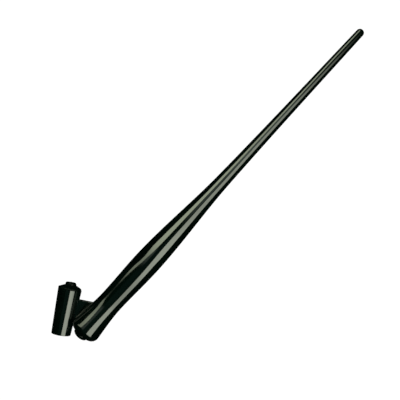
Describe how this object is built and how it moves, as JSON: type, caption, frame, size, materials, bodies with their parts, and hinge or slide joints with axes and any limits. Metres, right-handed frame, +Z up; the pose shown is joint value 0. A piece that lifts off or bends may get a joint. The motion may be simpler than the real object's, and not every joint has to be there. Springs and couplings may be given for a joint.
{
  "type": "oblique pen holder",
  "caption": "Black plastic oblique dip-pen holder: long tapered handle with a flared front, and a slanted nib socket carried beside it on a flat web.",
  "frame": {"origin": "on the table under the middle of the holder's box, as it lies on the belly of its grip, its tail and the back rim of its socket", "axes": "+X along the handle towards the tail, +Y towards the side that carries the socket, +Z up from the table"},
  "size_m": [0.2035, 0.0302, 0.0147],
  "materials": {
    "handle_plastic": "glossy moulded black plastic",
    "flange_plastic": "glossy moulded black plastic",
    "core_plastic": "moulded black plastic, slightly duller than the handle",
    "plug_plastic": "glossy moulded black plastic"
  },
  "bodies": {
    "root": {"handle": "handle_plastic", "socket_flange": "flange_plastic", "socket_core": "core_plastic", "front_plug": "plug_plastic"}
  },
  "joints": []
}
